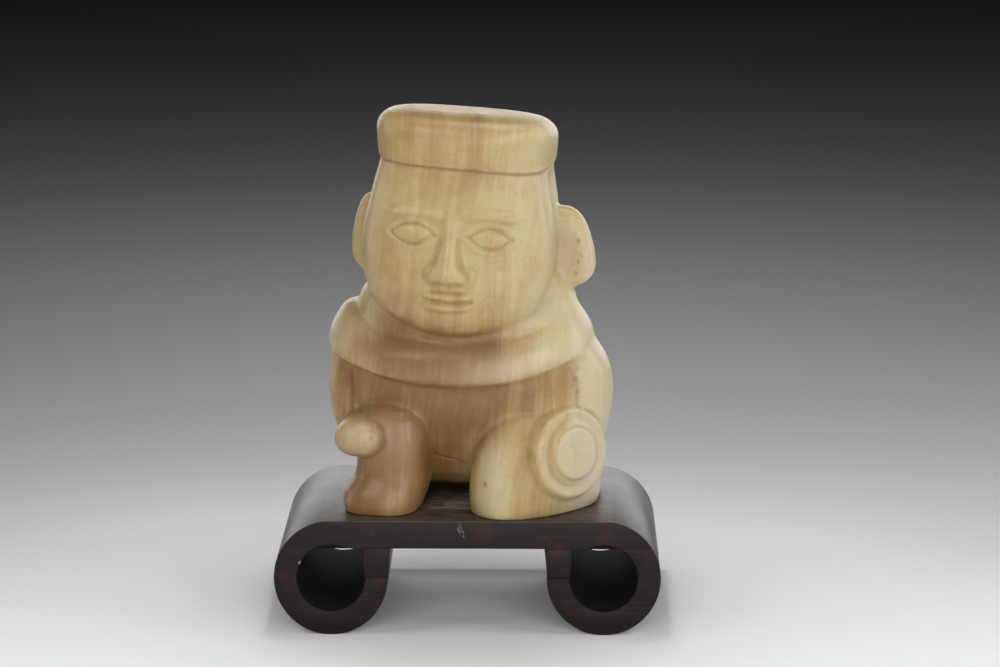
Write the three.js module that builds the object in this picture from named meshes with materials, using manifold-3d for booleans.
// A seated figure carved from one piece of banded alabaster, resting on a small
// dark wooden stand whose ends roll under as scrolls. Millimetres, +Z up.
// The origin is at the middle of the stand's footprint, and the figure looks along -Y.
import * as THREE from "three";
import { mergeVertices } from "three/addons/utils/BufferGeometryUtils.js";
import Module from "manifold-3d";

const wasm = await Module();
wasm.setup();

// The stand: a flat board on two scrolls, each a lower curl and a small block.
const STAND_WIDTH = 112;
const STAND_DEPTH = 68;
const STAND_HEIGHT = 33.9;
const BOARD_THICKNESS = 8.1;
const SCROLL_RADIUS = 16.5;
const SCROLL_HOLE_RADIUS = 9.8;
const BLOCK_FACE_TO_HOLE = 30.2;
const BLOCK_TOP_FACE_TO_ARCH = 22.3;
const BLOCK_FOOT_FACE_TO_ARCH = 23.2;
const CURL_FOOT_WIDTH = 4.4;
const CURL_FOOT_ROUNDING = 0.12;
const ARC_STEP = Math.PI / 20;

// The figure on it, turned a little to its right and with its head tilted.
const FIGURE_X = 0.5;
const FIGURE_Y = -1;
const FIGURE_TURN = THREE.MathUtils.degToRad(-9);
const HEAD_TILT = THREE.MathUtils.degToRad(3);
const HEAD_PIVOT_HEIGHT = 60;
const HEAD_X = -2;
const HEAD_Y = 0.6;
const REST_GAP = 0.05;

// The round boss on the outer side of the raised leg: its middle, the way it faces, and
// its profile as radius and height, from the leg over a bevelled rim and a shallow
// groove to a flat disc. It is a little wider than it is tall.
const BOSS_X = 31.8;
const BOSS_Y = -16.4;
const BOSS_Z = 17.6;
const BOSS_TURN = THREE.MathUtils.degToRad(57);
const BOSS_LEAN = THREE.MathUtils.degToRad(6);
const BOSS_STRETCH = 1.12;
const BOSS_SIDES = 28;
const BOSS_PROFILE = [
  [0, -8],
  [13.4, -8],
  [13.4, 0.2],
  [13, 1.3],
  [12.1, 2],
  [9.6, 1.9],
  [8.5, 1.6],
  [8.1, 3.1],
  [7.5, 3.6],
  [0, 3.7],
];

// Each carved form is a stack of rounded sections. A section says how far the form
// reaches to the left, right, front and back at its height and how square it is. It may
// also lie higher towards its left and right ends, by an amount that sets in at the
// ends alone where its liftPower is high.
const REACHES = ["left", "right", "front", "back", "power", "liftLeft", "liftRight", "liftPower"];

const BODY = [
  { z: 0, left: -30, right: 33, front: 12.6, back: 22, power: 2.6 },
  { z: 1.2, left: -33, right: 36.2, front: 9.6, back: 24.6, power: 2.6 },
  { z: 4, left: -34.6, right: 37.8, front: -3.6, back: 26.4, power: 2.8 },
  { z: 9, left: -35, right: 37.2, front: -10.6, back: 27, power: 2.8 },
  { z: 17, left: -34.4, right: 36, front: -16, back: 26.6, power: 2.8 },
  { z: 26, left: -35, right: 35.4, front: -21.2, back: 25.4, power: 2.8 },
  { z: 33, left: -37, right: 35, front: -24, back: 24.6, power: 2.6 },
  { z: 42, left: -38, right: 34, front: -25.2, back: 23.6, power: 2.4 },
  { z: 50, left: -34.4, right: 31.4, front: -24, back: 22, power: 2.4 },
];

// The neck band that shows between the chin and the cape's collar.
const NECK = [
  { z: 40, left: -35, right: 31, front: -25, back: 23, power: 2.3 },
  { z: 50, left: -34.4, right: 31, front: -24.6, back: 22.6, power: 2.3 },
  { z: 56, left: -33.8, right: 31.6, front: -23, back: 22, power: 2.3 },
  { z: 61, left: -32.6, right: 31.2, front: -20.8, back: 20.4, power: 2.3 },
  { z: 70, left: -27, right: 25, front: -14, back: 18, power: 2.3 },
];

const HEM = { power: 2.5, liftLeft: 7.4, liftRight: 8, liftPower: 2 };
const SHOULDER = { power: 2.4, liftLeft: 7.4, liftRight: 9.2, liftPower: 2.6 };
const COLLAR = { power: 2.3, liftLeft: 8.4, liftRight: 9.4, liftPower: 4 };
const CAPE = [
  { z: 38, left: -36, right: 33, front: -23, back: 22, ...HEM },
  { z: 38, left: -40.4, right: 36.6, front: -26.8, back: 25.6, ...HEM },
  { z: 40, left: -41.4, right: 36.6, front: -27.4, back: 26.4, ...HEM },
  { z: 43, left: -41.4, right: 35.7, front: -27.4, back: 26.4, ...SHOULDER },
  { z: 46, left: -40.2, right: 34.1, front: -27, back: 25.8, ...SHOULDER },
  { z: 48.5, left: -38, right: 32.4, front: -26, back: 24.8, ...COLLAR },
  { z: 50, left: -35.8, right: 31, front: -24.8, back: 23.4, ...COLLAR },
  { z: 49, left: -29, right: 26, front: -20, back: 18, ...COLLAR },
];

const FACE = [
  { z: 52.4, left: -7, right: 7, front: -24.6, back: -8, power: 2 },
  { z: 53.8, left: -13.4, right: 13.4, front: -27.6, back: -4, power: 2.1 },
  { z: 57, left: -19.8, right: 19.8, front: -29.2, back: 0, power: 2.3 },
  { z: 62, left: -24.4, right: 24.4, front: -29.6, back: 0, power: 2.5 },
  { z: 70, left: -27.6, right: 27.6, front: -29.4, back: 0, power: 2.7 },
  { z: 80, left: -28, right: 28, front: -28.8, back: 0, power: 2.9 },
  { z: 90, left: -26.2, right: 26.2, front: -28.4, back: 0, power: 3 },
  { z: 99, left: -24.4, right: 24.4, front: -27.6, back: 0, power: 3 },
  { z: 103, left: -23.4, right: 23.4, front: -26, back: 0, power: 3 },
];

const SKULL = [
  { z: 56, left: -25, right: 25, front: -18, back: 18, power: 2.6 },
  { z: 66, left: -26.6, right: 26.6, front: -22, back: 20.5, power: 2.8 },
  { z: 84, left: -26.4, right: 26.4, front: -22, back: 21.4, power: 2.9 },
  { z: 99, left: -24, right: 24, front: -22, back: 18.8, power: 3 },
  { z: 104, left: -23.4, right: 23.4, front: -22, back: 16.6, power: 3 },
];

const CAP = [
  { z: 100, left: -23.4, right: 23.4, front: -26.6, back: 18.4, power: 3 },
  { z: 100.2, left: -24.4, right: 24.2, front: -28, back: 19.6, power: 3 },
  { z: 104, left: -25.2, right: 24.8, front: -28.6, back: 19, power: 3 },
  { z: 108.6, left: -25.9, right: 25.7, front: -29, back: 15.6, power: 3 },
  { z: 112, left: -25.7, right: 25.5, front: -28.8, back: 10.6, power: 3 },
  { z: 114.6, left: -24.2, right: 24, front: -27.6, back: 3.8, power: 2.9 },
  { z: 116.2, left: -21.4, right: 21.4, front: -24.8, back: -2.6, power: 2.8 },
  { z: 116.9, left: -16, right: 16, front: -20, back: -7, power: 2.6 },
];

const RIGHT_EAR = [
  { z: 64.8, left: 27, right: 32, front: -1, back: 6, power: 2.2 },
  { z: 66.4, left: 24, right: 35.4, front: -2.6, back: 7.4, power: 2.5 },
  { z: 69, left: 22, right: 37.7, front: -3, back: 8, power: 2.8 },
  { z: 73, left: 22, right: 38.1, front: -2.8, back: 8, power: 2.8 },
  { z: 78.6, left: 22, right: 36.7, front: -2.4, back: 7.8, power: 2.7 },
  { z: 84, left: 23, right: 34.6, front: -2, back: 7.4, power: 2.6 },
  { z: 87, left: 24, right: 32.2, front: -1.4, back: 6.6, power: 2.4 },
  { z: 88.4, left: 26, right: 29.6, front: 0, back: 5, power: 2.1 },
];

// The left ear is a narrower slab with a squarer top.
const LEFT_EAR = [
  { z: 64.7, left: -30.2, right: -26, front: -1, back: 6, power: 2.2 },
  { z: 66.2, left: -32.7, right: -24, front: -2.6, back: 7.4, power: 2.5 },
  { z: 69, left: -34.5, right: -22, front: -3, back: 8, power: 2.8 },
  { z: 73, left: -34.9, right: -22, front: -2.8, back: 8, power: 2.8 },
  { z: 79, left: -34.4, right: -22, front: -2.4, back: 7.8, power: 2.7 },
  { z: 84, left: -33.2, right: -23, front: -2, back: 7.4, power: 2.6 },
  { z: 87, left: -31.8, right: -24, front: -1.4, back: 6.6, power: 2.4 },
  { z: 88.1, left: -29.8, right: -25, front: 0, back: 5, power: 2.1 },
];

const UPRIGHT_LEG = [
  { z: 0, left: -32.4, right: -12.6, front: -30.6, back: -6, power: 3 },
  { z: 0.9, left: -33.6, right: -11.6, front: -31.6, back: -4, power: 3 },
  { z: 4.2, left: -34.4, right: -10.4, front: -31.6, back: -2, power: 3 },
  { z: 7.2, left: -33.2, right: -9.8, front: -30.6, back: 0, power: 3 },
  { z: 10, left: -31, right: -9.6, front: -29.2, back: 0, power: 3 },
  { z: 14, left: -30.4, right: -9.4, front: -28.6, back: 0, power: 3 },
  { z: 24, left: -30.6, right: -8.8, front: -27.6, back: 0, power: 2.8 },
  { z: 28.4, left: -29.6, right: -9.6, front: -25.8, back: 0, power: 2.6 },
  { z: 30.6, left: -27.4, right: -11.4, front: -23.4, back: -4, power: 2.4 },
  { z: 31.6, left: -24, right: -15, front: -20, back: -8, power: 2.2 },
];

// The other leg is a long lump whose outer side is turned towards the boss.
const TURNED_LEG = [
  { z: 0, left: -20.6, right: 20.4, front: -12.4, back: 11.6, power: 2.3 },
  { z: 0.9, left: -21.6, right: 22, front: -13.4, back: 12.6, power: 2.3 },
  { z: 5, left: -21.8, right: 22.4, front: -13.8, back: 13, power: 2.4 },
  { z: 12, left: -21.2, right: 22, front: -13.4, back: 12.8, power: 2.4 },
  { z: 19, left: -19, right: 21, front: -12.6, back: 11.2, power: 2.4 },
  { z: 25, left: -15.4, right: 19.6, front: -11, back: 8.6, power: 2.3 },
  { z: 29.6, left: -11, right: 16, front: -8, back: 6, power: 2.2 },
  { z: 32.4, left: -6, right: 10, front: -3, back: 4, power: 2 },
];
const TURNED_LEG_TURN = THREE.MathUtils.degToRad(53);
const TURNED_LEG_X = 20.6;
const TURNED_LEG_Y = -10.6;

const LEFT_ARM = [
  { z: 17, left: -35, right: -28, front: -10, back: 8, power: 2.2 },
  { z: 20, left: -38.6, right: -26, front: -15, back: 12, power: 2.4 },
  { z: 27, left: -40.6, right: -26, front: -17, back: 14, power: 2.5 },
  { z: 36, left: -42, right: -26, front: -15, back: 14, power: 2.5 },
  { z: 46, left: -41, right: -26, front: -13, back: 12, power: 2.4 },
];

const RIGHT_ARM = [
  { z: 10, left: 26, right: 37, front: -6, back: 12, power: 2.2 },
  { z: 17, left: 24, right: 39.2, front: -9, back: 15, power: 2.4 },
  { z: 26, left: 24, right: 41.2, front: -11, back: 16, power: 2.4 },
  { z: 34, left: 24, right: 42, front: -11.4, back: 15, power: 2.4 },
  { z: 41, left: 24, right: 40.8, front: -11.4, back: 13, power: 2.4 },
  { z: 45.6, left: 24, right: 38.4, front: -11, back: 12, power: 2.4 },
  { z: 49.6, left: 24, right: 35.2, front: -9, back: 10, power: 2.3 },
];

// The closed hand that ends the left forearm, as a stack laid down towards the front.
const HAND = [
  { z: 0, left: -6.6, right: 6, front: -7, back: 5, power: 2.2 },
  { z: 14, left: -7.2, right: 6.4, front: -6.6, back: 4.6, power: 2.2 },
  { z: 24, left: -7.9, right: 7, front: -6.6, back: 4.8, power: 2.2 },
  { z: 28, left: -7.6, right: 6.8, front: -6.3, back: 4.6, power: 2.1 },
  { z: 30.2, left: -6.2, right: 5.6, front: -5.2, back: 3.6, power: 2 },
  { z: 31.4, left: -4, right: 3.6, front: -3.6, back: 2, power: 2 },
  { z: 31.8, left: -1.8, right: 1.6, front: -2, back: 0.4, power: 2 },
];
const HAND_X = -29.4;
const HAND_Y = -3;
const HAND_Z = 23.6;
const HAND_SWING = THREE.MathUtils.degToRad(5);

const NOSE = [
  { z: 68.8, left: -3.4, right: 3.4, front: -31.6, back: -27, power: 2 },
  { z: 69.8, left: -5.4, right: 5.4, front: -33.4, back: -26, power: 2 },
  { z: 72, left: -5.2, right: 5.2, front: -34.2, back: -26, power: 2 },
  { z: 75, left: -3.8, right: 3.8, front: -33.4, back: -26, power: 2 },
  { z: 80, left: -2.8, right: 2.8, front: -31.6, back: -26, power: 2 },
  { z: 85, left: -2.8, right: 2.8, front: -29.9, back: -26, power: 2 },
  { z: 89, left: -3, right: 3, front: -28.6, back: -26, power: 2 },
];

const EYE = { size: [5.7, 1.6, 2.6], place: [11.4, -27.2, 82.5] };
const BROW = { size: [7.4, 1.3, 1.3], place: [11.4, -27.8, 88.5] };
const UPPER_LIP = { size: [8, 1.6, 1.5], place: [0, -29.2, 65] };
const LOWER_LIP = { size: [6.6, 1.8, 1.8], place: [0, -29.2, 62] };

function smoothSections(keys, steps) {
  const curves = REACHES.map(
    (name) => new THREE.SplineCurve(keys.map((key) => new THREE.Vector2(key.z, key[name] ?? 0))),
  );
  const sections = [];
  for (let step = 0; step <= steps; step++) {
    const points = curves.map((curve) => curve.getPoint(step / steps));
    const section = { z: points[0].x };
    REACHES.forEach((name, index) => {
      section[name] = points[index].y;
    });
    sections.push(section);
  }
  return sections;
}

function roundedPower(value, power) {
  return Math.sign(value) * Math.abs(value) ** (2 / power);
}

// A closed form through a stack of sections, with a fan of triangles at each end.
function stack(keys, sides, steps) {
  const sections = smoothSections(keys, steps);
  const positions = [];
  const indices = [];
  for (const s of sections) {
    const middleX = (s.left + s.right) / 2;
    const middleY = (s.front + s.back) / 2;
    for (let side = 0; side < sides; side++) {
      const angle = (side / sides) * 2 * Math.PI;
      const across = roundedPower(Math.cos(angle), s.power);
      const lift = across < 0 ? s.liftLeft : s.liftRight;
      positions.push(
        middleX + ((s.right - s.left) / 2) * across,
        middleY + ((s.back - s.front) / 2) * roundedPower(Math.sin(angle), s.power),
        s.z + lift * Math.abs(across) ** (s.liftPower || 1),
      );
    }
  }
  for (let ring = 0; ring < sections.length - 1; ring++) {
    for (let side = 0; side < sides; side++) {
      const here = ring * sides + side;
      const next = ring * sides + ((side + 1) % sides);
      indices.push(here, next, next + sides, here, next + sides, here + sides);
    }
  }
  const ends = [sections[0], sections[sections.length - 1]];
  ends.forEach((s, end) => {
    const centre = positions.length / 3;
    const ring = end * (sections.length - 1) * sides;
    positions.push((s.left + s.right) / 2, (s.front + s.back) / 2, s.z);
    for (let side = 0; side < sides; side++) {
      const here = ring + side;
      const next = ring + ((side + 1) % sides);
      indices.push(centre, end ? here : next, end ? next : here);
    }
  });
  const geometry = new THREE.BufferGeometry();
  geometry.setAttribute("position", new THREE.Float32BufferAttribute(positions, 3));
  geometry.setIndex(indices);
  return geometry;
}

function toSolid(geometry) {
  const bare = geometry.clone();
  bare.deleteAttribute("normal");
  bare.deleteAttribute("uv");
  const merged = mergeVertices(bare, 1e-4);
  const index = merged.getIndex().array;
  const triangles = [];
  for (let corner = 0; corner < index.length; corner += 3) {
    const [a, b, c] = index.slice(corner, corner + 3);
    if (a !== b && b !== c && c !== a) {
      triangles.push(a, b, c);
    }
  }
  return new wasm.Manifold(
    new wasm.Mesh({
      numProp: 3,
      vertProperties: new Float32Array(merged.getAttribute("position").array),
      triVerts: new Uint32Array(triangles),
    }),
  );
}

function toGeometry(solid) {
  const mesh = solid.getMesh();
  const geometry = new THREE.BufferGeometry();
  geometry.setAttribute("position", new THREE.BufferAttribute(mesh.vertProperties, 3));
  geometry.setIndex(new THREE.BufferAttribute(mesh.triVerts, 1));
  geometry.computeVertexNormals();
  return geometry;
}

function joined(geometries) {
  return geometries.map(toSolid).reduce((whole, solid) => whole.add(solid));
}

function bossForm() {
  const profile = BOSS_PROFILE.map(([radius, height]) => new THREE.Vector2(radius, height));
  const geometry = new THREE.LatheGeometry(profile, BOSS_SIDES);
  geometry.scale(BOSS_STRETCH, 1, 1);
  geometry.rotateX(Math.PI - BOSS_LEAN);
  geometry.rotateZ(BOSS_TURN);
  geometry.translate(BOSS_X, BOSS_Y, BOSS_Z);
  return geometry;
}

// A soft lump given by its half sizes and its place, on one side of the face or the other.
function lump({ size, place }, side = 1) {
  const [x, y, z] = place;
  return new THREE.SphereGeometry(1, 16, 6).scale(...size).translate(side * x, y, z);
}

function headForms() {
  const forms = [
    stack(FACE, 40, 12),
    stack(SKULL, 32, 5),
    stack(CAP, 40, 10),
    stack(RIGHT_EAR, 18, 8),
    stack(LEFT_EAR, 18, 8),
    stack(NOSE, 14, 8),
    lump(EYE),
    lump(EYE, -1),
    lump(BROW),
    lump(BROW, -1),
    lump(UPPER_LIP),
    lump(LOWER_LIP),
  ];
  for (const form of forms) {
    form.translate(0, 0, -HEAD_PIVOT_HEIGHT);
    form.rotateY(HEAD_TILT);
    form.translate(HEAD_X, HEAD_Y, HEAD_PIVOT_HEIGHT);
  }
  return forms;
}

function turnedLegForm() {
  const geometry = stack(TURNED_LEG, 36, 10);
  geometry.rotateZ(TURNED_LEG_TURN);
  geometry.translate(TURNED_LEG_X, TURNED_LEG_Y, 0);
  return geometry;
}

function handForm() {
  const geometry = stack(HAND, 18, 10);
  geometry.rotateX(Math.PI / 2);
  geometry.rotateZ(HAND_SWING);
  geometry.translate(HAND_X, HAND_Y, HAND_Z);
  return geometry;
}

function figureGeometry() {
  return toGeometry(
    joined([
      stack(BODY, 40, 11),
      stack(NECK, 32, 4),
      stack(CAPE, 40, 11),
      ...headForms(),
      stack(UPRIGHT_LEG, 28, 11),
      turnedLegForm(),
      stack(LEFT_ARM, 20, 7),
      stack(RIGHT_ARM, 20, 8),
      handForm(),
      bossForm(),
    ]),
  );
}

const STONE = new THREE.MeshStandardMaterial({ color: 0xcfbd8c, roughness: 0.35, metalness: 0 });
const LACQUERED_WOOD = new THREE.MeshStandardMaterial({
  color: 0x2a1714,
  roughness: 0.3,
  metalness: 0,
});

// An outline in the XZ plane, drawn out along Y to the depth of the stand.
function standPiece(name, outline) {
  const shape = new THREE.Shape(outline.map(([x, z]) => new THREE.Vector2(x, z)));
  const geometry = new THREE.ExtrudeGeometry(shape, { depth: STAND_DEPTH, bevelEnabled: false });
  geometry.rotateX(Math.PI / 2);
  geometry.translate(0, STAND_DEPTH / 2, 0);
  const mesh = new THREE.Mesh(geometry, LACQUERED_WOOD);
  mesh.name = name;
  return mesh;
}

const SCROLL_X = STAND_WIDTH / 2 - SCROLL_RADIUS;
const SCROLL_Z = STAND_HEIGHT / 2;
const BOARD_UNDERSIDE = STAND_HEIGHT - BOARD_THICKNESS;

// Points along part of the scroll's outside or of its hole, from one angle to another.
function arc(radiusX, radiusZ, from, to) {
  const steps = Math.ceil(Math.abs(to - from) / ARC_STEP);
  const points = [];
  for (let step = 0; step <= steps; step++) {
    const angle = from + ((to - from) * step) / steps;
    points.push([SCROLL_X + radiusX * Math.cos(angle), SCROLL_Z + radiusZ * Math.sin(angle)]);
  }
  return points;
}

const SEAM_ANGLE = Math.asin((BOARD_UNDERSIDE - SCROLL_Z) / SCROLL_Z);
const HOLE_SEAM_ANGLE = Math.asin((BOARD_UNDERSIDE - SCROLL_Z) / SCROLL_HOLE_RADIUS);
const FOOT_ANGLE = Math.acos(CURL_FOOT_WIDTH / 2 / SCROLL_RADIUS);

function boardOutline() {
  const end = arc(SCROLL_RADIUS, SCROLL_Z, SEAM_ANGLE, Math.PI / 2);
  return [...end, ...end.map(([x, z]) => [-x, z]).reverse()];
}

function curlOutline() {
  const foot = (side) => [SCROLL_X + (side * CURL_FOOT_WIDTH) / 2, 0];
  return [
    ...arc(SCROLL_RADIUS, SCROLL_Z, SEAM_ANGLE, -FOOT_ANGLE + CURL_FOOT_ROUNDING),
    foot(1),
    foot(-1),
    ...arc(SCROLL_RADIUS, SCROLL_Z, -Math.PI + FOOT_ANGLE - CURL_FOOT_ROUNDING, -Math.PI),
    ...arc(SCROLL_HOLE_RADIUS, SCROLL_HOLE_RADIUS, -Math.PI, HOLE_SEAM_ANGLE),
  ];
}

function blockOutline() {
  return [
    [BLOCK_FOOT_FACE_TO_ARCH, SCROLL_Z],
    [BLOCK_FACE_TO_HOLE, SCROLL_Z],
    [BLOCK_FACE_TO_HOLE, BOARD_UNDERSIDE],
    [BLOCK_TOP_FACE_TO_ARCH, BOARD_UNDERSIDE],
  ];
}

function otherSide(outline) {
  return outline.map(([x, z]) => [-x, z]).reverse();
}

const idol = new THREE.Mesh(figureGeometry(), STONE);
idol.name = "idol";
const figure = new THREE.Group();
figure.position.set(FIGURE_X, FIGURE_Y, STAND_HEIGHT + REST_GAP);
figure.rotation.z = FIGURE_TURN;
figure.add(idol);

const part = new THREE.Group();
part.add(
  figure,
  standPiece("stand_board", boardOutline()),
  standPiece("stand_scroll_right", curlOutline()),
  standPiece("stand_scroll_left", otherSide(curlOutline())),
  standPiece("stand_block_right", blockOutline()),
  standPiece("stand_block_left", otherSide(blockOutline())),
);

export default part;
